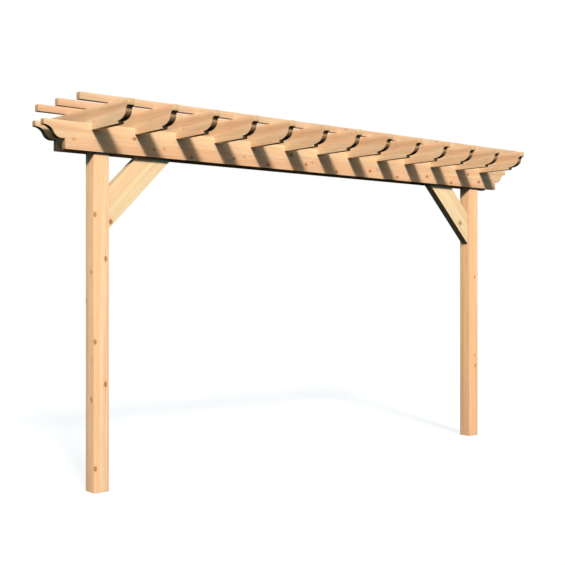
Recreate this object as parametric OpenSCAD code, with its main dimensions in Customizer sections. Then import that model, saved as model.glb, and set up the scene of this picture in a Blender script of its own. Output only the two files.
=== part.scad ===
// Single-row timber pergola. Two square posts stand in one line and each ends in a tongue
// that rises between a pair of beam boards with shaped ends. Braces run at 45 degrees from
// the posts up between the boards, notched rafters cross the boards, and square battens lie
// on the rafters. The origin is the centre of the left post's foot.

/* [Posts] */
// Side of each square post
post_side = 120; // [100:1:160]
// Distance between the centres of the two posts
post_spacing = 4070; // [2400:10:5200]
// Height of the beam boards' underside above the ground
headroom = 2390; // [1900:5:2900]

/* [Beam boards] */
// Thickness of each of the two beam boards
board_t = 50; // [32:1:65]
// Height of the beam boards
board_h = 195; // [155:1:240]
// Clear gap between the two boards, filled by the post tongues and the braces
board_gap = 74; // [45:1:90]
// Reach of the boards past the centre of each post
board_reach = 455; // [340:5:620]
// Height of the blunt nose at each end of a board
board_nose = 40; // [25:1:50]
// Length of the hollow curve under the nose of a board
board_hollow_run = 72; // [50:1:90]
// Height of the hollow curve under the nose of a board
board_hollow_drop = 42; // [30:1:50]
// Length of the round curve after the hollow one
board_round_run = 60; // [45:1:80]
// Height of the round curve after the hollow one
board_round_drop = 41; // [30:1:50]
// Angle that each curve of a board turns through
board_turn = 68; // [45:1:90]
// Length of the flat between the round curve and the step at the end of a board
board_flat = 27; // [5:1:40]

/* [Braces] */
// Width of each brace across its slope
brace_w = 205; // [120:1:260]
// Drop from the boards' underside to the lowest point of a brace on its post
brace_leg = 541; // [420:1:800]
// Rise of each brace's level top above the boards' underside
brace_rise = 120; // [60:1:150]

/* [Rafters] */
// Number of rafters
rafter_count = 13; // [5:1:17]
// Thickness of each rafter
rafter_t = 50; // [38:1:75]
// Height of each rafter
rafter_h = 155; // [150:1:200]
// Length of each rafter
rafter_len = 1150; // [900:10:1500]
// Reach of the end rafters' outer faces past the centres of the posts
rafter_reach = 96; // [40:1:300]
// Depth of the notch that seats a rafter on the boards
notch_depth = 45; // [15:1:60]
// Clearance between the notch and the boards at front and rear
notch_gap = 0.2; // [0.1:0.1:2]
// Height of the blunt nose at each end of a rafter
rafter_nose = 45; // [30:1:50]
// Length of the hollow curve under the nose of a rafter
rafter_hollow_run = 32; // [20:1:45]
// Height of the hollow curve under the nose of a rafter
rafter_hollow_drop = 32; // [20:1:36]
// Length of the round curve after the hollow one
rafter_round_run = 102; // [70:1:130]
// Height of the round curve after the hollow one
rafter_round_drop = 59; // [40:1:60]
// Angle that each curve of a rafter turns through
rafter_turn = 88; // [45:1:90]
// Length of the flat between the round curve and the step at the end of a rafter
rafter_flat = 4; // [2:1:40]

/* [Battens] */
// Side of each square batten
batten_side = 50; // [35:1:75]
// Distance between the centres of neighbouring battens
batten_spacing = 305; // [150:1:400]
// Reach of the battens past the outer faces of the end rafters
batten_reach = 220; // [60:5:450]

/* [Hidden] */
// Tones of the sawn timber
post_tone = [0.95, 0.78, 0.60];
board_tone = [0.93, 0.75, 0.57];
brace_tone = [0.91, 0.74, 0.56];
rafter_tone = [0.88, 0.70, 0.52];
batten_tone = [0.94, 0.77, 0.60];
// Straight steps along each arc of a shaped end
arc_steps = 12;
// Overrun of a cut past the faces it opens
overrun = 1;
board_top = headroom + board_h;
beam_w = 2 * board_t + board_gap;
// Middle of a beam board, measured from the line of the posts
board_y = (board_gap + board_t) / 2;
rafter_bottom = board_top - notch_depth;
rafter_top = rafter_bottom + rafter_h;
// The rafters stand evenly between the two end ones
rafter_row = post_spacing + 2 * rafter_reach;
rafter_pitch = (rafter_row - rafter_t) / (rafter_count - 1);
batten_len = rafter_row + 2 * batten_reach;
// Height of a brace's plumb cut, where it meets the post
brace_cut = brace_w * sqrt(2);

// Name of a rafter, counted from the left
function rafter_name(i) = str("rafter_", i < 10 ? "0" : "", i);

// Point at angle a on a curve that leaves the origin level and turns downwards through the
// given angle while it covers the given size, a [run, drop] pair
function curve_point(size, turn, a) =
    [size[0] * sin(a) / sin(turn), -size[1] * (1 - cos(a)) / (1 - cos(turn))];

// Points of the S-shaped cut, from the nose's tip at the origin down to the flat. The hollow
// curve starts level under the nose and the round curve ends level at the flat.
function ogee_points(hollow, round, turn) = concat(
    [for (k = [0 : arc_steps]) curve_point(hollow, turn, turn * k / arc_steps)],
    [for (k = [arc_steps - 1 : -1 : 0])
        [hollow[0] + round[0], -hollow[1] - round[1]]
        - curve_point(round, turn, turn * k / arc_steps)]);

// Side outline of a timber of the given length and height with the same shaped end at both
// ends. The curves are [run, drop] pairs. It starts at x = 0 and stands on z = 0.
module shaped_outline(length, height, nose, hollow, round, turn, flat) {
    under_nose = height - nose;
    step_x = hollow[0] + round[0] + flat;
    shaped_end = concat(
        [[0, height]],
        [for (p = ogee_points(hollow, round, turn)) p + [0, under_nose]],
        [[step_x, under_nose - hollow[1] - round[1]], [step_x, 0]]);
    last = len(shaped_end) - 1;
    other_end = [for (k = [last : -1 : 0]) [length - shaped_end[k][0], shaped_end[k][1]]];
    polygon(concat(shaped_end, other_end));
}

// Post with a shoulder under each beam board and a tongue between the boards
module post(x) {
    color(post_tone) {
        translate([x - post_side / 2, -post_side / 2, 0])
        cube([post_side, post_side, headroom]);
        translate([x - post_side / 2, -board_gap / 2, headroom])
        cube([post_side, board_gap, board_h]);
    }
}

// Beam board with its middle at the given distance behind the line of the posts
module beam_board(y) {
    color(board_tone)
    translate([-board_reach, y + board_t / 2, headroom])
    rotate([90, 0, 0])
    linear_extrude(board_t)
    shaped_outline(post_spacing + 2 * board_reach, board_h, board_nose,
        [board_hollow_run, board_hollow_drop], [board_round_run, board_round_drop],
        board_turn, board_flat);
}

// Brace with its plumb cut on the plane x = 0 and the boards' underside at z = 0
module brace() {
    color(brace_tone)
    translate([0, board_gap / 2, 0])
    rotate([90, 0, 0])
    linear_extrude(board_gap)
    polygon([
        [0, -brace_leg],
        [brace_leg + brace_rise, brace_rise],
        [brace_leg + brace_rise - brace_cut, brace_rise],
        [0, brace_cut - brace_leg]
    ]);
}

module left_brace() {
    translate([post_side / 2, 0, headroom])
    brace();
}

module right_brace() {
    translate([post_spacing - post_side / 2, 0, headroom])
    mirror([1, 0, 0])
    brace();
}

// Rafter with the given number, notched over both boards
module rafter(i) {
    left_face = rafter_pitch * (i - 1) - rafter_reach;
    color(rafter_tone)
    translate([left_face, 0, rafter_bottom])
    difference() {
        translate([0, -rafter_len / 2, 0])
        rotate([90, 0, 90])
        linear_extrude(rafter_t)
        shaped_outline(rafter_len, rafter_h, rafter_nose,
            [rafter_hollow_run, rafter_hollow_drop], [rafter_round_run, rafter_round_drop],
            rafter_turn, rafter_flat);
        translate([-overrun, -beam_w / 2 - notch_gap, -overrun])
        cube([rafter_t + 2 * overrun, beam_w + 2 * notch_gap, notch_depth + overrun]);
    }
}

// Batten in the given row: -1 is the front one, 0 the middle one and 1 the rear one
module batten(row) {
    color(batten_tone)
    translate([-rafter_reach - batten_reach, row * batten_spacing - batten_side / 2, rafter_top])
    cube([batten_len, batten_side, batten_side]);
}

post(0);  // left_post
post(post_spacing);  // right_post
beam_board(-board_y);  // front_beam
beam_board(board_y);  // rear_beam
left_brace();
right_brace();
for (i = [1 : rafter_count]) {
    rafter(i);
}
batten(-1);  // front_batten
batten(0);  // middle_batten
batten(1);  // rear_batten
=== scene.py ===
import math
import random
import bpy
import bmesh
import numpy as np
from mathutils import Matrix, Vector


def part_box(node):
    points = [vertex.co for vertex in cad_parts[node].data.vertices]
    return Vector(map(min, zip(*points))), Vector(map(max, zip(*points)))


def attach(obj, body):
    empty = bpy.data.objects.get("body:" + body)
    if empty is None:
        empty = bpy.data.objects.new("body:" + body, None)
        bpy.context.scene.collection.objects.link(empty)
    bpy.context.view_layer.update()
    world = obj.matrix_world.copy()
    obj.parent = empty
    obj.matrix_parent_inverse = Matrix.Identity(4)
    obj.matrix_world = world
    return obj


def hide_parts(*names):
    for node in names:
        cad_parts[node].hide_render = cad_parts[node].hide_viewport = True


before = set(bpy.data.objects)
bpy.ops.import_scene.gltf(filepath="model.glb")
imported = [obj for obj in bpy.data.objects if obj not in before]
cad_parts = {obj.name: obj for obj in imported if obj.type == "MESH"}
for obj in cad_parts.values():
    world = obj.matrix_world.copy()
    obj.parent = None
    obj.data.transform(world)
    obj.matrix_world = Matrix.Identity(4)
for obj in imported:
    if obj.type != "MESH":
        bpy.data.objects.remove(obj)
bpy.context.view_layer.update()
scene = bpy.context.scene
print("frame loaded,", len(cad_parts), "timbers")


def pickOnly(thing):
    bpy.ops.object.select_all(action="DESELECT")
    thing.hide_set(False)
    thing.select_set(True)
    bpy.context.view_layer.objects.active = thing


def editMode(on):
    bpy.ops.object.mode_set(mode="EDIT" if on else "OBJECT")


upward = 0.9  # a face looks up when its normal's z is above this


def selectTop(piece):  # in edit mode: only the faces that look up
    bpy.ops.mesh.select_all(action="DESELECT")
    mesh = bmesh.from_edit_mesh(piece.data)
    for face in mesh.faces:
        face.select_set(face.normal.z > upward)
    bmesh.update_edit_mesh(piece.data)


def smoothTo(piece, degrees):
    pickOnly(piece)
    bpy.ops.object.shade_smooth_by_angle(angle=math.radians(degrees))


def joinAll(name, things):
    bpy.ops.object.select_all(action="DESELECT")
    for thing in things:
        thing.select_set(True)
    bpy.context.view_layer.objects.active = things[0]
    if len(things) > 1:
        bpy.ops.object.join()
    bpy.ops.object.transform_apply(location=True, rotation=True, scale=True)
    things[0].name = name
    return things[0]


# camera and lamps; travel is the way the light goes
cameraSet = {
    "place": (-3.530, -6.250, 1.478), "turn": -39.98, "lens": 63.51, "sensor": 36, "reach": 300}
sunSet = {"travel": (0.62, 1.45, -1.0), "strength": 3.15, "angle": 7, "colour": (1.0, 0.955, 0.88)}
glareSet = {"travel": (0.62, 1.45, -1.0), "strength": 0.70, "angle": 32, "colour": (1.0, 0.93, 0.84)}
roofFillSet = {"travel": (1.0, 0.10, -0.40), "strength": 0.96, "angle": 16, "colour": (1.0, 0.83, 0.62)}
postFillSet = {"travel": (3.0, 1.45, -1.0), "strength": 1.42, "angle": 5, "colour": (1.0, 0.86, 0.65)}
backFillSet = {"travel": (-0.9, -1.45, -0.7), "strength": 0.85, "angle": 24, "colour": (1.0, 0.93, 0.84)}
skySet = {"colour": (0.165, 0.305, 0.410), "backdrop": (1.0, 1.0, 1.0)}


def addSun(name, look):
    bpy.ops.object.light_add(type="SUN", location=(0, 0, 6))
    lamp = bpy.context.object
    lamp.name = name
    lamp.rotation_euler = Vector(look["travel"]).to_track_quat("-Z", "Y").to_euler()
    lamp.data.energy = look["strength"]
    lamp.data.angle = math.radians(look["angle"])
    lamp.data.color = look["colour"]
    return lamp


bpy.ops.object.select_all(action="DESELECT")
bpy.ops.object.camera_add(
    location=cameraSet["place"], rotation=(math.pi / 2, 0, math.radians(cameraSet["turn"])))
scene.camera = bpy.context.object
scene.camera.data.sensor_width = cameraSet["sensor"]
scene.camera.data.lens = cameraSet["lens"]
scene.camera.data.clip_end = cameraSet["reach"]
roofSun = addSun("roofSun", sunSet)
postSun = addSun("postSun", sunSet)
roofGlare = addSun("roofGlare", glareSet)
postGlare = addSun("postGlare", glareSet)
roofFill = addSun("roofFill", roofFillSet)
postFill = addSun("postFill", postFillSet)
backFill = addSun("backFill", backFillSet)
scene.view_settings.view_transform = "Standard"


def addNode(tree, kind, feeds=None, **settings):  # feeds: sockets are linked, values are set
    made = tree.nodes.new(kind)
    for key, value in settings.items():
        setattr(made, key, value)
    for key, value in (feeds or {}).items():
        if isinstance(value, bpy.types.NodeSocket):
            tree.links.new(value, made.inputs[key])
        else:
            made.inputs[key].default_value = value
    return made


def seenRay(tree):  # 1 for the camera, mirrors and glass, 0 for soft light
    path = addNode(tree, "ShaderNodeLightPath").outputs
    either = addNode(tree, "ShaderNodeMath", {
        0: path["Is Camera Ray"], 1: path["Is Glossy Ray"]}, operation="MAXIMUM")
    return addNode(tree, "ShaderNodeMath", {
        0: either.outputs[0], 1: path["Is Transmission Ray"]}, operation="MAXIMUM").outputs[0]


world = bpy.data.worlds.new("paleStudio")
scene.world = world
world.use_nodes = True
tree = world.node_tree
skyMix = addNode(tree, "ShaderNodeMix", {
    0: seenRay(tree), 6: (*skySet["colour"], 1), 7: (*skySet["backdrop"], 1)}, data_type="RGBA")
tree.links.new(skyMix.outputs[2], tree.nodes["Background"].inputs["Color"])

# the floor glows to the eye, so it is white and still shows the shadow, but it lights the timber little
floorSet = {
    "size": 120, "place": (2, 0, 0), "glow": 1.045, "shadowShare": 0.2, "paint": (0.97, 0.97, 0.97),
    "bounce": (0.003, 0.005, 0.003)}
bpy.ops.mesh.primitive_plane_add(size=floorSet["size"], location=floorSet["place"])
floor = bpy.context.object
floor.name = "paleFloor"
floorPaint = bpy.data.materials.new("paleFloor")
floorPaint.use_nodes = True
floorPaint.cycles.emission_sampling = "NONE"  # its glow is only for looking at
tree = floorPaint.node_tree
tree.nodes.clear()
glow = addNode(tree, "ShaderNodeEmission", {"Color": (1, 1, 1, 1), "Strength": floorSet["glow"]})
matt = addNode(tree, "ShaderNodeBsdfDiffuse", {"Color": (*floorSet["paint"], 1)})
seen = addNode(tree, "ShaderNodeMixShader", {
    0: floorSet["shadowShare"], 1: glow.outputs[0], 2: matt.outputs[0]})
dull = addNode(tree, "ShaderNodeBsdfDiffuse", {"Color": (*floorSet["bounce"], 1)})
both = addNode(tree, "ShaderNodeMixShader", {0: seenRay(tree), 1: dull.outputs[0], 2: seen.outputs[0]})
addNode(tree, "ShaderNodeOutputMaterial", {"Surface": both.outputs[0]})
floor.data.materials.append(floorPaint)
print("camera, lamps and floor placed")


def newGroup(name, inputs, outputs):
    tree = bpy.data.node_groups.new(name, "ShaderNodeTree")
    kinds = {"v": "NodeSocketVector", "f": "NodeSocketFloat"}
    for label, kind in inputs.items():
        tree.interface.new_socket(label, in_out="INPUT", socket_type=kinds[kind])
    for label in outputs:
        tree.interface.new_socket(label, in_out="OUTPUT", socket_type=kinds["f"])
    return tree, tree.nodes.new("NodeGroupInput").outputs, tree.nodes.new("NodeGroupOutput")


def sendOut(tree, out, results):
    for label, value in results.items():
        tree.links.new(value, out.inputs[label])
    return tree


def calc(tree, operation, *values):
    return addNode(tree, "ShaderNodeMath", dict(enumerate(values)), operation=operation).outputs[0]


def vecCalc(tree, operation, *values):
    made = addNode(tree, "ShaderNodeVectorMath", dict(enumerate(values)), operation=operation)
    return made.outputs["Value" if operation in ("LENGTH", "DOT_PRODUCT") else "Vector"]


def ease(tree, value, low, high):  # smooth step from 0 at low to 1 at high
    return addNode(tree, "ShaderNodeMapRange", {0: value, 1: low, 2: high, 3: 0.0, 4: 1.0},
                   interpolation_type="SMOOTHSTEP").outputs[0]


def noise(tree, place, stretch, detail=2.0, rough=0.5):
    spot = vecCalc(tree, "MULTIPLY", place, stretch)
    return addNode(tree, "ShaderNodeTexNoise", {
        "Vector": spot, "Scale": 1.0, "Detail": detail, "Roughness": rough}).outputs


def lineNoise(tree, value, detail):
    return addNode(tree, "ShaderNodeTexNoise", {"W": value, "Scale": 1.0, "Detail": detail},
                   noise_dimensions="1D").outputs[0]


def axes(tree, vector):
    return addNode(tree, "ShaderNodeSeparateXYZ", {0: vector}).outputs


middleGrey = (0.5, 0.5, 0.5)
fineNoise = (3.0, 0.6)  # detail and roughness
grainSet = {
    "drift": (0.8, 4, 4), "taper": 0.007, "uneven": 0.45, "unevenReach": 1.8,
    "lateRise": (0.30, 0.90), "lateFall": (0.93, 1.0), "yearSpread": 0.6,
    "streaks": (1.3, 48, 48), "streakEase": (0.32, 0.72), "flecks": (6, 110, 110), "fleckEase": (0.50, 0.66),
    "fibres": (16, 900, 900), "bands": (0.90, 26, 26), "bandEase": (0.40, 0.60),
    "heartBlur": 0.004, "heartShare": 0.60, "bandShare": 0.62, "bandDrop": -0.06}


def makeGrainGroup():
    # growth rings round the pith, which runs along x at y = z = 0 of the grain coordinates
    tree, feed, out = newGroup(
        "growthRings", {"Grain": "v", "Ring Gap": "f", "Wander": "f", "Bulge": "f", "Heart": "f"},
        ("Rings", "Streaks", "Flecks", "Fibres", "Tone"))
    drift = vecCalc(tree, "SUBTRACT", noise(tree, feed["Grain"], grainSet["drift"])[1], middleGrey)
    drift = addNode(tree, "ShaderNodeVectorMath", {0: drift, "Scale": feed["Wander"]}, operation="SCALE")
    moved = vecCalc(tree, "ADD", feed["Grain"], drift.outputs[0])
    radius = vecCalc(tree, "LENGTH", vecCalc(tree, "MULTIPLY", moved, (0, 1, 1)))
    taper = calc(tree, "MULTIPLY", axes(tree, feed["Grain"])[0], grainSet["taper"])
    tapered = calc(tree, "ADD", radius, taper)
    turns = calc(tree, "DIVIDE", tapered, feed["Ring Gap"])
    uneven = lineNoise(tree, calc(tree, "MULTIPLY", turns, grainSet["uneven"]), 1.0)
    turns = calc(tree, "ADD", turns, calc(tree, "MULTIPLY", uneven, grainSet["unevenReach"]))
    turns = calc(tree, "ADD", turns, feed["Bulge"])
    part = calc(tree, "FRACT", turns)
    late = calc(tree, "MULTIPLY", ease(tree, part, *grainSet["lateRise"]),
                calc(tree, "SUBTRACT", 1.0, ease(tree, part, *grainSet["lateFall"])))
    year = addNode(tree, "ShaderNodeTexWhiteNoise", {"W": calc(tree, "FLOOR", turns)},
                   noise_dimensions="1D").outputs[0]  # some years grew a darker ring
    late = calc(tree, "MULTIPLY", late,
                calc(tree, "MULTIPLY_ADD", year, grainSet["yearSpread"], 1 - grainSet["yearSpread"]))
    streaks = noise(tree, moved, grainSet["streaks"], *fineNoise)[0]
    flecks = noise(tree, moved, grainSet["flecks"], *fineNoise)[0]
    fibres = noise(tree, feed["Grain"], grainSet["fibres"], 2.0, 0.6)[0]
    bands = ease(tree, noise(tree, moved, grainSet["bands"])[0], *grainSet["bandEase"])
    edge = calc(tree, "SUBTRACT", radius, feed["Heart"])
    heart = calc(tree, "SUBTRACT", 1.0, ease(tree, edge, -grainSet["heartBlur"], grainSet["heartBlur"]))
    streaks = ease(tree, streaks, *grainSet["streakEase"])
    flecks = ease(tree, flecks, *grainSet["fleckEase"])
    bandTone = calc(tree, "MULTIPLY_ADD", bands, grainSet["bandShare"], grainSet["bandDrop"])
    return sendOut(tree, out, {
        "Rings": late, "Streaks": streaks, "Flecks": flecks, "Fibres": fibres,
        "Tone": calc(tree, "MULTIPLY_ADD", heart, grainSet["heartShare"], bandTone)})


knotSet = {
    "ragged": (110, 110, 110), "raggedReach": (0.012, 0.012, 0.012), "mottle": (330, 330, 330),
    "mottleEase": (0.30, 0.70), "mottleDrop": -0.35, "core": (0.55, 1.15), "rimRise": (0.50, 0.85),
    "rimFall": (0.85, 1.15), "halo": (0.8, 2.4), "swellFall": -0.16, "swellRings": 2.6}


def makeKnotGroup():
    # a branch cut through: a dark oval with a darker rim, and rings that flow round it
    tree, feed, out = newGroup(
        "branchKnot", {"Place": "v", "Centre": "v", "Spread": "v", "Depth": "f"},
        ("Core", "Rim", "Halo", "Bulge"))
    away = vecCalc(tree, "SUBTRACT", feed["Place"], feed["Centre"])
    ragged = vecCalc(tree, "SUBTRACT", noise(tree, feed["Place"], knotSet["ragged"], 3.0)[1], middleGrey)
    ragged = vecCalc(tree, "MULTIPLY", ragged, knotSet["raggedReach"])
    away = vecCalc(tree, "MULTIPLY", vecCalc(tree, "ADD", away, ragged), feed["Spread"])
    reach = vecCalc(tree, "LENGTH", away)
    mottle = ease(tree, noise(tree, feed["Place"], knotSet["mottle"])[0], *knotSet["mottleEase"])
    core = calc(tree, "SUBTRACT", 1.0, ease(tree, reach, *knotSet["core"]))
    core = calc(tree, "MULTIPLY", core, calc(tree, "MULTIPLY_ADD", mottle, knotSet["mottleDrop"], 1.0))
    rim = calc(tree, "MULTIPLY", ease(tree, reach, *knotSet["rimRise"]),
               calc(tree, "SUBTRACT", 1.0, ease(tree, reach, *knotSet["rimFall"])))
    halo = calc(tree, "SUBTRACT", 1.0, ease(tree, reach, *knotSet["halo"]))
    swell = calc(tree, "MULTIPLY", calc(tree, "POWER", reach, 2.0), knotSet["swellFall"])
    swell = calc(tree, "EXPONENT", swell)
    return sendOut(tree, out, {
        "Core": calc(tree, "MULTIPLY", core, feed["Depth"]),
        "Rim": calc(tree, "MULTIPLY", rim, feed["Depth"]),
        "Halo": calc(tree, "MULTIPLY", halo, feed["Depth"]),
        "Bulge": calc(tree, "MULTIPLY", swell, knotSet["swellRings"])})


# the last three ranges shape the masks of painted shade, on curved cuts that look down and on faces that look
# down
endSet = {
    "pores": (60, 1500, 1500), "rays": 26.0, "checks": (0.66, 0.80), "end": (0.35, 0.92),
    "sawnSide": (0.05, 0.30), "sawnDown": (0.0, 0.28), "under": (0.30, 0.65)}


def makeEndGroup():
    # which way a face looks: End 1 where it faces along the timber; the last two outputs mask painted shade,
    # on curved cuts that look down and on faces that look down
    tree, feed, out = newGroup(
        "cutEnd", {"Along": "v", "Grain": "v"}, ("End", "Pores", "Checks", "Sawn", "Under"))
    facing = addNode(tree, "ShaderNodeNewGeometry").outputs["Normal"]
    square = calc(tree, "ABSOLUTE", vecCalc(tree, "DOT_PRODUCT", facing, feed["Along"]))
    pores = noise(tree, feed["Grain"], endSet["pores"], 1.0)[0]
    spokes = axes(tree, feed["Grain"])
    angle = calc(tree, "ARCTAN2", spokes[2], spokes[1])
    rays = lineNoise(tree, calc(tree, "MULTIPLY", angle, endSet["rays"]), 3.0)
    down = calc(tree, "MULTIPLY", axes(tree, facing)[2], -1.0)
    sawn = calc(tree, "MULTIPLY", ease(tree, square, *endSet["sawnSide"]),
                ease(tree, down, *endSet["sawnDown"]))
    return sendOut(tree, out, {
        "End": ease(tree, square, *endSet["end"]), "Pores": pores,
        "Checks": ease(tree, rays, *endSet["checks"]),
        "Sawn": sawn, "Under": ease(tree, down, *endSet["under"])})


grainGroup = makeGrainGroup()
knotGroup = makeKnotGroup()
endGroup = makeEndGroup()

woodTones = {
    "sap": (0.945, 0.680, 0.438),     # pale yellowish sapwood
    "heart": (0.895, 0.530, 0.322),   # pinkish heartwood
    "streak": (0.83, 0.490, 0.285),
    "late": (0.76, 0.430, 0.235),     # the darker half of each growth ring
    "knot": (0.36, 0.130, 0.036),
    "rim": (0.22, 0.085, 0.032),
    "cut": (0.66, 0.440, 0.250),      # end grain
    # the last tone is a painted highlight, laid on the eased edges
    "worn": (0.96, 0.690, 0.460)}     # planed arrises catch the light
brightest = 0.98
surfaceSet = {  # how much each mark shows, and what its tone is multiplied by
    "pits": (0.30, 0.74), "pitShare": 0.13, "pitCast": (0.8, 0.8, 0.8), "endShare": 0.80,
    "poreShare": 0.35, "poreCast": (0.6, 0.6, 0.6), "splitShare": 0.55, "splitCast": (1.4, 1.4, 1.4),
    "wornShare": 0.35, "haloShare": 0.40, "haloCast": (0.97, 0.84, 0.70), "coreShare": 0.90, "rimShare": 0.45,
    "fibreHeight": 0.45, "ringHeight": 0.55, "splitHeight": -1.5, "rimHeight": -0.9,
    "bumpStrength": 0.55, "bumpDistance": 0.0006, "rough": 0.66, "ringRough": -0.10, "endRough": 0.20,
    "outerFacing": (0.3, 0.8)}


def tint(tree, share, below, above):
    return addNode(tree, "ShaderNodeMix", {0: share, 6: below, 7: above}, data_type="RGBA").outputs[2]


def tone(name, cast=(1, 1, 1)):
    return (*[min(channel * share, brightest) for channel, share in zip(woodTones[name], cast)], 1)


def addKnots(tree, knots):  # the darkest of all knots at each point, and the sum of their bulges
    place = addNode(tree, "ShaderNodeTexCoord").outputs["Object"]
    marks = {"Core": None, "Rim": None, "Halo": None, "Bulge": None}
    for knot in knots:
        spot = addNode(tree, "ShaderNodeGroup", node_tree=knotGroup)
        tree.links.new(place, spot.inputs["Place"])
        spot.inputs["Centre"].default_value = knot["centre"]
        spot.inputs["Spread"].default_value = knot["spread"]
        spot.inputs["Depth"].default_value = knot["depth"]
        for key in marks:
            if marks[key] is None:
                marks[key] = spot.outputs[key]
            else:
                join = "ADD" if key == "Bulge" else "MAXIMUM"
                marks[key] = calc(tree, join, marks[key], spot.outputs[key])
    return marks


def passLight(tree, colour, look):
    # light passed on to other pieces is tinted and damped, but less from an outer face
    path = addNode(tree, "ShaderNodeLightPath")
    passed, share = (*look["passes"], 1), look["swallow"]
    if "outward" in look:
        facing = addNode(tree, "ShaderNodeNewGeometry").outputs["Normal"]
        outer = ease(tree, vecCalc(tree, "DOT_PRODUCT", facing, look["outward"]), *surfaceSet["outerFacing"])
        passed = tint(tree, outer, passed, (*look["outerPasses"], 1))
        share = calc(tree, "MAXIMUM", share, outer)
    return tint(tree, calc(tree, "MULTIPLY", path.outputs["Is Diffuse Ray"], share), colour, passed)


def timberMaterial(name, along, knots, look):
    material = bpy.data.materials.new(name)
    material.use_nodes = True
    tree = material.node_tree
    shader = tree.nodes["Principled BSDF"]
    cast = look["cast"]
    grain = addNode(tree, "ShaderNodeAttribute", attribute_name="grain").outputs["Vector"]
    marks = addKnots(tree, knots)
    rings = addNode(tree, "ShaderNodeGroup", node_tree=grainGroup)
    tree.links.new(grain, rings.inputs["Grain"])
    tree.links.new(marks["Bulge"], rings.inputs["Bulge"])
    rings.inputs["Ring Gap"].default_value = look["ringGap"]
    rings.inputs["Wander"].default_value = look["wander"]
    rings.inputs["Heart"].default_value = look["heart"]
    rings = rings.outputs
    ends = addNode(tree, "ShaderNodeGroup", node_tree=endGroup)
    tree.links.new(grain, ends.inputs["Grain"])
    ends.inputs["Along"].default_value = along
    ends = ends.outputs
    worn = addNode(tree, "ShaderNodeAttribute", attribute_name="easedEdge").outputs["Fac"]

    colour = tint(tree, rings["Tone"], tone("sap", cast), tone("heart", cast))
    for mark, shade in (("Streaks", "streak"), ("Rings", "late"), ("Flecks", "late")):
        share = calc(tree, "MULTIPLY", rings[mark], look[mark.lower()])
        colour = tint(tree, share, colour, tone(shade, cast))
    pits = calc(tree, "MULTIPLY", ease(tree, rings["Fibres"], *surfaceSet["pits"]), surfaceSet["pitShare"])
    colour = tint(tree, pits, colour, tone("streak", surfaceSet["pitCast"]))
    endShare = calc(tree, "MULTIPLY", ends["End"], surfaceSet["endShare"])
    colour = tint(tree, endShare, colour, tone("cut", look["ends"]))
    pored = calc(tree, "MULTIPLY", ends["End"],
                 calc(tree, "MULTIPLY", ends["Pores"], surfaceSet["poreShare"]))
    colour = tint(tree, pored, colour, tone("late", surfaceSet["poreCast"]))
    split = calc(tree, "MULTIPLY", ends["End"], ends["Checks"])
    splitShare = calc(tree, "MULTIPLY", split, surfaceSet["splitShare"])
    colour = tint(tree, splitShare, colour, tone("rim", surfaceSet["splitCast"]))
    # painted highlight: the eased edges are made lighter
    colour = tint(tree, calc(tree, "MULTIPLY", worn, surfaceSet["wornShare"]), colour, tone("worn", cast))
    for mark, share, shade in (("Halo", "haloShare", tone("streak", surfaceSet["haloCast"])),
                               ("Core", "coreShare", tone("knot")), ("Rim", "rimShare", tone("rim"))):
        colour = tint(tree, calc(tree, "MULTIPLY", marks[mark], surfaceSet[share]), colour, shade)
    # painted shade: curved cuts and faces that look down are multiplied darker, by how much they look down
    for key in ("Sawn", "Under"):  # curved cuts and undersides are darker than the faces beside them
        colour = addNode(tree, "ShaderNodeMix", {0: ends[key], 6: colour, 7: (*look[key.lower()], 1)},
                         data_type="RGBA", blend_type="MULTIPLY").outputs[2]
    tree.links.new(passLight(tree, colour, look), shader.inputs["Base Color"])

    height = calc(tree, "MULTIPLY_ADD", rings["Fibres"], surfaceSet["fibreHeight"],
                  calc(tree, "MULTIPLY", rings["Rings"], surfaceSet["ringHeight"]))
    height = calc(tree, "MULTIPLY_ADD", split, surfaceSet["splitHeight"], height)
    height = calc(tree, "MULTIPLY_ADD", marks["Rim"], surfaceSet["rimHeight"], height)
    bump = addNode(tree, "ShaderNodeBump", {
        "Strength": surfaceSet["bumpStrength"], "Distance": surfaceSet["bumpDistance"], "Height": height})
    tree.links.new(bump.outputs[0], shader.inputs["Normal"])
    rough = calc(tree, "MULTIPLY_ADD", rings["Rings"], surfaceSet["ringRough"], surfaceSet["rough"])
    rough = calc(tree, "MULTIPLY_ADD", ends["End"], surfaceSet["endRough"], rough)
    tree.links.new(rough, shader.inputs["Roughness"])
    shader.inputs["Specular IOR Level"].default_value = 0.0
    return material


timberSet = {
    "weld": 0.00005, "flatWithin": 0.3, "sharpOver": 25, "bevelSteps": 2, "bevelProfile": 0.6,
    "smoothUnder": 28, "boreSides": 20, "boreTaper": 0.82, "trunkLength": 40}
timbers = {}


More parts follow.
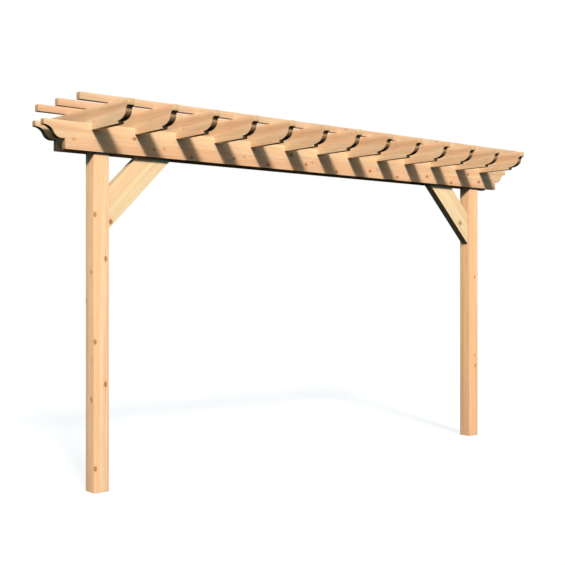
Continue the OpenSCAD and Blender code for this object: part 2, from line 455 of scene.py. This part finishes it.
def easedCopy(node, name, offset):
    # a clean copy of the timber with its outer edges eased, as planed garden timber has them
    piece = bpy.data.objects.new(name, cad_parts[node].data.copy())
    scene.collection.objects.link(piece)
    pickOnly(piece)
    piece.data.materials.clear()
    for count in range(2):  # two empty slots tell the bevel's faces from the flat ones
        piece.data.materials.append(None)
    bpy.ops.mesh.customdata_custom_splitnormals_clear()
    editMode(True)
    bpy.ops.mesh.select_all(action="SELECT")
    bpy.ops.mesh.remove_doubles(threshold=timberSet["weld"])
    bpy.ops.mesh.dissolve_limited(angle_limit=math.radians(timberSet["flatWithin"]))
    bpy.ops.mesh.select_all(action="DESELECT")
    bpy.ops.mesh.select_mode(type="EDGE")
    mesh = bmesh.from_edit_mesh(piece.data)
    for edge in mesh.edges:
        edge.select_set(edge.is_convex and edge.calc_face_angle(0) > math.radians(timberSet["sharpOver"]))
    bmesh.update_edit_mesh(piece.data)
    bpy.ops.mesh.bevel(
        offset=offset, segments=timberSet["bevelSteps"], profile=timberSet["bevelProfile"],
        affect="EDGES", clamp_overlap=True, material=1)
    bpy.ops.mesh.select_mode(type="FACE")
    editMode(False)
    eased = np.zeros(len(piece.data.polygons), np.int32)
    piece.data.polygons.foreach_get("material_index", eased)
    mark = piece.data.attributes.new("easedEdge", "FLOAT", "FACE")
    mark.data.foreach_set("value", eased.astype(np.float32))
    piece.data.polygons.foreach_set("material_index", np.zeros_like(eased))
    piece.data.materials.clear()
    return piece


def boreHoles(piece, holes):  # holes: centre, direction, radius and length of each bore
    cutters = []
    for centre, direction, radius, length in holes:
        bpy.ops.object.select_all(action="DESELECT")
        turn = Vector(direction).to_track_quat("Z", "Y").to_euler()
        bpy.ops.mesh.primitive_cone_add(
            vertices=timberSet["boreSides"], radius1=radius * timberSet["boreTaper"], radius2=radius,
            depth=length, location=centre, rotation=turn)
        cutters.append(bpy.context.object)
    cutter = joinAll(piece.name + "Bores", cutters)
    pickOnly(piece)
    cut = piece.modifiers.new("bores", "BOOLEAN")
    cut.operation = "DIFFERENCE"
    cut.solver = "EXACT"
    cut.object = cutter
    bpy.ops.object.modifier_apply(modifier=cut.name)
    bpy.data.objects.remove(cutter)


def layGrain(piece, along, across, seed, pithReach):
    # writes where each point lies in the trunk that the timber was sawn from
    rng = random.Random(seed)
    side = Vector(along).cross(Vector(across))
    pith = (rng.uniform(*pithReach[0]), rng.uniform(*pithReach[1]))
    start = rng.uniform(0, timberSet["trunkLength"])
    corners = np.array(piece.bound_box)
    middle = (Vector(corners.min(0)) + Vector(corners.max(0))) / 2
    points = np.zeros(len(piece.data.vertices) * 3)
    piece.data.vertices.foreach_get("co", points)
    points = points.reshape(-1, 3) - np.array(middle)
    grain = np.stack([points @ np.array(along) + start,
                      points @ np.array(across) + pith[0],
                      points @ np.array(side) + pith[1]], 1)
    field = piece.data.attributes.new("grain", "FLOAT_VECTOR", "POINT")
    field.data.foreach_set("vector", grain.astype(np.float32).ravel())


def finishTimber(piece, node, material):
    piece.data.materials.append(material)
    smoothTo(piece, timberSet["smoothUnder"])
    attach(piece, "root")
    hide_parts(node)
    timbers[node] = piece


def knotList(spots, thin):
    # spots: x, y, z, size and how dark; thin: how each knot is squeezed along x, y and z
    return [{"centre": spot[:3], "spread": tuple(t / spot[3] for t in thin), "depth": spot[4]}
            for spot in spots]


headSet = {  # lengths are shares of the head's radius
    "sides": 18, "height": 0.5, "shoulder": (0.16, 0.10), "pan": 0.38, "drive": (0.06, -0.30),
    "lobes": 6, "lobeReach": 0.5, "lobeShare": 0.16, "smoothUnder": 30, "boreRoom": 1.2, "sunkShare": 0.66}


def turnedTo(place, facing):
    return Matrix.Translation(place) @ Vector(facing).to_track_quat("Z", "Y").to_matrix().to_4x4()


def screwHead(place, facing, radius):
    # a pan that sits in its countersink, with a six-lobed drive
    bpy.ops.object.select_all(action="DESELECT")
    bpy.ops.mesh.primitive_cylinder_add(
        vertices=headSet["sides"], radius=radius, depth=radius * headSet["height"])
    head = bpy.context.object
    rim, rise = headSet["shoulder"]
    wall, sink = headSet["drive"]
    editMode(True)
    selectTop(head)
    bpy.ops.mesh.inset(thickness=radius * rim, depth=radius * rise)
    bpy.ops.mesh.inset(thickness=radius * headSet["pan"], depth=0)
    bpy.ops.mesh.inset(thickness=radius * wall, depth=radius * sink)
    editMode(False)
    for vertex in head.data.vertices:
        if math.hypot(vertex.co.x, vertex.co.y) < radius * headSet["lobeReach"] and vertex.co.z > 0:
            turn = math.atan2(vertex.co.y, vertex.co.x)
            pull = 1 + headSet["lobeShare"] * math.cos(headSet["lobes"] * turn)
            vertex.co.x *= pull
            vertex.co.y *= pull
    head.data.transform(turnedTo(place, facing))
    return head


def screwSet(name, spots, radius):
    piece = joinAll(name, [screwHead(place, facing, radius) for place, facing in spots])
    piece.data.materials.append(steel)
    smoothTo(piece, headSet["smoothUnder"])
    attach(piece, "root")


def sunkHeads(name, tops, look):  # heads a little below flat tops
    drop = look["sink"] * headSet["sunkShare"]
    screwSet(name, [((x, y, z - drop), (0, 0, 1)) for x, y, z in tops], look["screwRadius"])


def boreTops(piece, tops, look):  # half of each bore's length stands above the face
    radius = look["screwRadius"] * headSet["boreRoom"]
    boreHoles(piece, [(top, (0, 0, 1), radius, look["sink"] * 2) for top in tops])


steelSet = {"wear": (500, 500, 500), "wearEase": (0.42, 0.66), "coat": (0.42, 0.255, 0.125, 1),
            "bare": (0.55, 0.40, 0.25, 1), "rough": 0.52, "wearRough": -0.15, "wearMetal": 0.8}


def coatedSteel():
    material = bpy.data.materials.new("coatedSteel")
    material.use_nodes = True
    tree = material.node_tree
    shader = tree.nodes["Principled BSDF"]
    place = addNode(tree, "ShaderNodeTexCoord").outputs["Object"]
    wear = ease(tree, noise(tree, place, steelSet["wear"], *fineNoise)[0], *steelSet["wearEase"])
    tree.links.new(tint(tree, wear, steelSet["coat"], steelSet["bare"]), shader.inputs["Base Color"])
    rough = calc(tree, "MULTIPLY_ADD", wear, steelSet["wearRough"], steelSet["rough"])
    tree.links.new(rough, shader.inputs["Roughness"])
    tree.links.new(calc(tree, "MULTIPLY", wear, steelSet["wearMetal"]), shader.inputs["Metallic"])
    return material


steel = coatedSteel()
plain = (1, 1, 1)
nothing = (0, 0, 0)

# posts
postSet = {
    "ease": 0.0035, "ringGap": 0.0062, "wander": 0.016, "streaks": 0.64, "rings": 0.44, "flecks": 0.50,
    "cast": (0.966, 0.957, 0.922), "swallow": 0.8, "passes": nothing,
    "ends": plain, "sawn": plain, "under": plain,
    "pith": ((0.048, 0.052), (0.040, 0.048)), "heart": 0.040, "seed": 11, "knotThin": (1, 1, 0.62),
    "shades": ((1.0, 1.0, 1.0), (0.98, 0.93, 0.88)),
    "knots": {
        "left_post": [(-0.052, -0.060, 1.954, 0.012, 1.0), (0.033, -0.060, 1.646, 0.012, 1.0),
                      (-0.052, -0.060, 1.061, 0.012, 1.0), (0.031, -0.060, 0.759, 0.013, 1.0),
                      (-0.050, -0.060, 0.172, 0.012, 1.0), (-0.060, -0.020, 1.552, 0.011, 0.8),
                      (-0.060, -0.022, 0.653, 0.013, 0.9), (-0.060, -0.030, 0.934, 0.008, 0.4),
                      (-0.060, 0.052, 1.347, 0.010, 0.8), (0.022, 0.060, 0.920, 0.015, 0.9),
                      (0.060, 0.012, 0.690, 0.013, 0.9), (-0.020, 0.060, 1.830, 0.012, 0.8)],
        "right_post": [(4.084, -0.060, 1.533, 0.010, 0.8), (4.094, -0.060, 0.675, 0.011, 0.8),
                       (4.084, -0.060, 0.777, 0.009, 0.6), (4.130, -0.010, 1.210, 0.014, 0.9),
                       (4.060, 0.060, 0.420, 0.014, 0.9), (4.090, 0.060, 1.720, 0.012, 0.8)]}}
for order, node in enumerate(("left_post", "right_post")):
    piece = easedCopy(node, node + "_timber", postSet["ease"])
    layGrain(piece, (0, 0, 1), (1, 0, 0), postSet["seed"] + order, postSet["pith"])
    cast = [share * shade for share, shade in zip(postSet["cast"], postSet["shades"][order])]
    look = dict(postSet, cast=cast)
    knots = knotList(postSet["knots"][node], postSet["knotThin"])
    finishTimber(piece, node, timberMaterial(node + "Wood", (0, 0, 1), knots, look))
print("posts done")

# beam boards, screwed to the posts' tongues and to the braces, with a wooden plug over each screw
boardSet = {
    "ease": 0.003, "ringGap": 0.0056, "wander": 0.018, "streaks": 0.54, "rings": 0.36, "flecks": 0.42,
    "cast": (1.012, 0.977, 0.925), "swallow": 0.6,
    "passes": (0.30, 0.46, 0.40), "outerPasses": (1.0, 0.86, 0.68),
    # the last two tints below are painted shade, on curved cuts and on faces that look down
    "ends": (1.30, 1.26, 1.10), "sawn": (0.60, 0.55, 0.50), "under": (0.85, 0.85, 0.70),
    "pith": ((0.060, 0.060), (0.070, 0.070)), "heart": 0.1085, "seed": 31, "plugSeed": 36,
    "knotThin": (0.70, 0.30, 1), "sink": 0.004,
    "plugRadius": 0.006, "plugRoom": 1.05, "plugBevel": 0.08, "plugFill": 0.96,
    "tongueScrews": [(-0.034, 0.036), (0.034, 0.036), (-0.034, 0.112), (0.034, 0.112)],
    "braceScrews": [(0.415, 0.038), (0.555, 0.038), (0.480, 0.086), (0.620, 0.086)],
    "knots": {  # x, z, size and how dark
        "front_beam": [(-0.230, 2.463, 0.0103, 0.5), (0.252, 2.508, 0.0112, 1.0), (0.417, 2.447, 0.0095, 0.8),
                       (0.506, 2.460, 0.0086, 0.6), (0.749, 2.415, 0.0095, 1.0), (1.151, 2.441, 0.0103, 1.0),
                       (1.249, 2.460, 0.0086, 0.5), (1.485, 2.416, 0.0112, 1.0), (1.731, 2.516, 0.0112, 1.0),
                       (1.892, 2.449, 0.0112, 1.0), (1.961, 2.470, 0.0086, 0.4), (2.233, 2.413, 0.0112, 1.0),
                       (2.632, 2.447, 0.0120, 1.0), (2.720, 2.466, 0.0086, 0.5), (2.976, 2.418, 0.0120, 1.0),
                       (3.371, 2.449, 0.0120, 1.0), (3.709, 2.416, 0.0129, 1.0), (3.952, 2.512, 0.0120, 0.8),
                       (4.112, 2.448, 0.0129, 1.0)],
        "rear_beam": [(-0.120, 2.480, 0.013, 0.8), (0.660, 2.430, 0.016, 0.9), (1.560, 2.500, 0.014, 0.7),
                      (2.180, 2.440, 0.013, 0.8), (2.960, 2.520, 0.016, 0.9), (3.610, 2.450, 0.014, 0.7),
                      (4.330, 2.470, 0.012, 0.8)]}}


def plugSet(name, spots):  # wooden plugs that fill the bores, flush with the face
    radius, depth = boardSet["plugRadius"], boardSet["sink"] * boardSet["plugFill"]
    plugs = []
    for place, facing in spots:
        bpy.ops.object.select_all(action="DESELECT")
        bpy.ops.mesh.primitive_cylinder_add(vertices=timberSet["boreSides"], radius=radius, depth=depth)
        plug = bpy.context.object
        editMode(True)
        selectTop(plug)
        bpy.ops.mesh.bevel(offset=radius * boardSet["plugBevel"], segments=1, affect="EDGES")
        editMode(False)
        plug.data.transform(turnedTo(place, facing))
        plugs.append(plug)
    piece = joinAll(name, plugs)
    smoothTo(piece, headSet["smoothUnder"])
    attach(piece, "root")
    return piece


postX = [sum(corner[0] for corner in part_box(node)) / 2 for node in ("left_post", "right_post")]
for order, node in enumerate(("front_beam", "rear_beam")):
    low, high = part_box(node)
    out = -1 if order == 0 else 1
    face = low.y if order == 0 else high.y
    spots = []
    for number, x in enumerate(postX):
        inward = 1 - 2 * number
        spots += [(x + dx, low.z + dz) for dx, dz in boardSet["tongueScrews"]]
        spots += [(x + inward * dx, low.z + dz) for dx, dz in boardSet["braceScrews"]]
    piece = easedCopy(node, node + "_timber", boardSet["ease"])
    boreHoles(piece, [((x, face, z), (0, out, 0), boardSet["plugRadius"] * boardSet["plugRoom"],
                       boardSet["sink"] * 2) for x, z in spots])
    layGrain(piece, (1, 0, 0), (0, 0, 1), boardSet["seed"] + order, boardSet["pith"])
    knots = knotList([(x, face, z, size, depth) for x, z, size, depth in boardSet["knots"][node]],
                     boardSet["knotThin"])
    material = timberMaterial(node + "Wood", (1, 0, 0), knots, dict(boardSet, outward=(0, out, 0)))
    finishTimber(piece, node, material)
    rest = face - out * boardSet["sink"] / 2
    plugs = plugSet(node + "_plugs", [((x, rest, z), (0, out, 0)) for x, z in spots])
    layGrain(plugs, (1, 0, 0), (0, 0, 1), boardSet["plugSeed"] + order, boardSet["pith"])
    plugs.data.materials.append(material)
print("beam boards done")

# braces, screwed level into the posts through their sloping undersides
braceSet = {
    "ease": 0.003, "ringGap": 0.0060, "wander": 0.018, "streaks": 0.46, "rings": 0.32, "flecks": 0.34,
    "cast": (1.03, 1.16, 1.10), "swallow": 0.8, "passes": nothing, "ends": plain, "sawn": plain,
    # this tint is painted shade on the faces that look down
    "under": (0.92, 0.72, 0.68),
    "pith": (((0.025, 0.035), (-0.170, -0.160)), ((-0.035, -0.025), (-0.190, -0.180))), "heart": 0.060,
    "seed": 51, "knotThin": (0.85, 0.4, 0.85),
    "screwRise": (0.075, 0.165), "screwRadius": 0.0055, "seat": 0.0022,
    "boreRadius": 0.0075, "boreDepth": 0.016, "boreMouth": 0.024,
    "knots": {
        "left_brace": [(0.084, -0.037, 1.910, 0.015, 1.0), (0.210, 0.037, 2.060, 0.015, 0.8)],
        "right_brace": [(3.897, -0.037, 2.047, 0.017, 0.95), (3.800, 0.037, 2.190, 0.015, 0.8)]}}
for order, node in enumerate(("left_brace", "right_brace")):
    low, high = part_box(node)
    inward = 1 - 2 * order
    foot = low.x if order == 0 else high.x
    along = Vector((inward, 0, 1)).normalized()
    piece = easedCopy(node, node + "_timber", braceSet["ease"])
    bores, heads = [], []
    for rise in braceSet["screwRise"]:
        mouth = foot + inward * rise
        deep = mouth - inward * braceSet["boreDepth"]
        middle = (deep + mouth) / 2 + inward * braceSet["boreMouth"] / 2
        bores.append(((middle, 0, low.z + rise), (inward, 0, 0),
                      braceSet["boreRadius"], braceSet["boreDepth"] + braceSet["boreMouth"]))
        heads.append(((deep + inward * braceSet["seat"], 0, low.z + rise), (inward, 0, 0)))
    boreHoles(piece, bores)
    layGrain(piece, tuple(along), (0, inward, 0), braceSet["seed"] + order, braceSet["pith"][order])
    knots = knotList(braceSet["knots"][node], braceSet["knotThin"])
    finishTimber(piece, node, timberMaterial(node + "Wood", tuple(along), knots, braceSet))
    screwSet(node + "_screws", heads, braceSet["screwRadius"])
print("braces done")

# rafters, each held by a long screw down into either board
rafterSet = {
    "ease": 0.0028, "ringGap": 0.0054, "wander": 0.018,
    "streaks": (0.48, 0.72), "rings": 0.42, "flecks": 0.60,
    "cast": (1.050, 1.055, 1.040), "swallow": 0.4, "passes": (0.75, 0.95, 0.95), "ends": (1.22, 1.26, 1.16),
    # the first two tints below are painted shade, on curved cuts and on faces that look down
    "sawn": (0.42, 0.36, 0.34), "under": (0.90, 0.85, 0.80), "pith": ((-0.052, -0.038), (0.010, 0.020)),
    "heart": 0.051, "seed": 71, "shade": (0.96, 1.03), "screwRadius": 0.005, "sink": 0.005,
    "knotSeed": 7, "knotCount": 2, "knotThin": (0.30, 0.70, 1),
    "knotSize": (0.006, 0.010), "knotDepth": (0.4, 0.9),
    "knotMargin": (0.12, 0.05, 0.025)}  # from the ends, the underside and the top
boardY = [sum(corner[1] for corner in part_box(node)) / 2 for node in ("front_beam", "rear_beam")]
rafterNodes = sorted(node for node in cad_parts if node.startswith("rafter_"))
rng = random.Random(rafterSet["knotSeed"])  # the battens draw on from it
rafterX, screwTops = [], []
for order, node in enumerate(rafterNodes):
    low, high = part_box(node)
    middle = (low.x + high.x) / 2
    tops = [(middle, y, high.z) for y in boardY]
    piece = easedCopy(node, node + "_timber", rafterSet["ease"])
    boreTops(piece, tops, rafterSet)
    layGrain(piece, (0, 1, 0), (0, 0, 1), rafterSet["seed"] + order, rafterSet["pith"])
    end, below, above = rafterSet["knotMargin"]
    spots = [(rng.choice((low.x, high.x, high.x)), rng.uniform(low.y + end, high.y - end),
              rng.uniform(low.z + below, high.z - above), rng.uniform(*rafterSet["knotSize"]),
              rng.uniform(*rafterSet["knotDepth"])) for count in range(rafterSet["knotCount"])]
    shade = rng.uniform(*rafterSet["shade"])
    look = dict(rafterSet, cast=[share * shade for share in rafterSet["cast"]],
                streaks=rng.uniform(*rafterSet["streaks"]))
    knots = knotList(spots, rafterSet["knotThin"])
    finishTimber(piece, node, timberMaterial(node + "Wood", (0, 1, 0), knots, look))
    rafterX.append(middle)
    screwTops += tops
sunkHeads("rafter_screws", screwTops, rafterSet)
print("rafters done")

# battens, one screw at each rafter they cross
battenSet = {
    "ease": 0.0025, "ringGap": 0.0058, "wander": 0.016, "streaks": 0.44, "rings": 0.28, "flecks": 0.40,
    "cast": (0.83, 0.80, 0.78), "swallow": 0.5, "passes": nothing,
    "ends": plain, "sawn": plain, "under": plain,
    "pith": ((-0.04, 0.04), (0.02, 0.06)), "heart": 0.050, "seed": 91, "screwRadius": 0.0042, "sink": 0.0035,
    "knotCount": 6, "knotThin": (0.70, 0.30, 1), "knotSize": (0.006, 0.010), "knotDepth": (0.4, 0.9),
    "knotMargin": (0.05, 0.012)}  # from the ends and from the edges
for order, node in enumerate(("front_batten", "middle_batten", "rear_batten")):
    low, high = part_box(node)
    tops = [(x, (low.y + high.y) / 2, high.z) for x in rafterX]
    piece = easedCopy(node, node + "_timber", battenSet["ease"])
    boreTops(piece, tops, battenSet)
    layGrain(piece, (1, 0, 0), (0, 1, 0), battenSet["seed"] + order, battenSet["pith"])
    end, edge = battenSet["knotMargin"]
    spots = [(rng.uniform(low.x + end, high.x - end), rng.choice((low.y, high.y)),
              rng.uniform(low.z + edge, high.z - edge), rng.uniform(*battenSet["knotSize"]),
              rng.uniform(*battenSet["knotDepth"])) for count in range(battenSet["knotCount"])]
    knots = knotList(spots, battenSet["knotThin"])
    finishTimber(piece, node, timberMaterial(node + "Wood", (1, 0, 0), knots, battenSet))
    sunkHeads(node + "_screws", tops, battenSet)
print("battens done")


def lampGroup(name, things, state):
    group = bpy.data.collections.new(name)
    for thing in things:
        group.objects.link(thing)
    for entry in group.collection_objects:
        entry.light_linking.link_state = state
    return group


# which timbers each lamp lights, and which throw its shade
battens = [timbers[node] for node in timbers if node.endswith("batten")]
rafters = [timbers[node] for node in rafterNodes]
posts = [timbers[node] for node in timbers if node.endswith("post")]
uprights = posts + [timbers[node] for node in timbers if node.endswith("brace")]
boards = [timbers[node] for node in timbers if node.endswith("beam")]
allButUprights = lampGroup("allButUprights", uprights, "EXCLUDE")
allButBattens = lampGroup("allButBattens", battens, "EXCLUDE")
allButRoof = lampGroup("allButRoof", battens + rafters, "EXCLUDE")
for lamp, lit, shading in (
        (roofSun, allButUprights, allButBattens),
        (roofGlare, allButUprights, allButBattens),
        (postSun, lampGroup("theUprights", uprights, "INCLUDE"), allButRoof),
        (postGlare, lampGroup("theUprightsToo", uprights, "INCLUDE"), allButRoof),
        (roofFill, lampGroup("allButFrame", uprights + boards, "EXCLUDE"),
         lampGroup("onlyTheFloor", [floor], "INCLUDE")),
        (postFill, lampGroup("thePosts", posts, "INCLUDE"), allButRoof),
        (backFill, lampGroup("allButTheFloor", [floor], "EXCLUDE"), None)):
    lamp.light_linking.receiver_collection = lit
    lamp.light_linking.blocker_collection = shading
print("lamps linked")

bpy.ops.object.select_all(action="DESELECT")
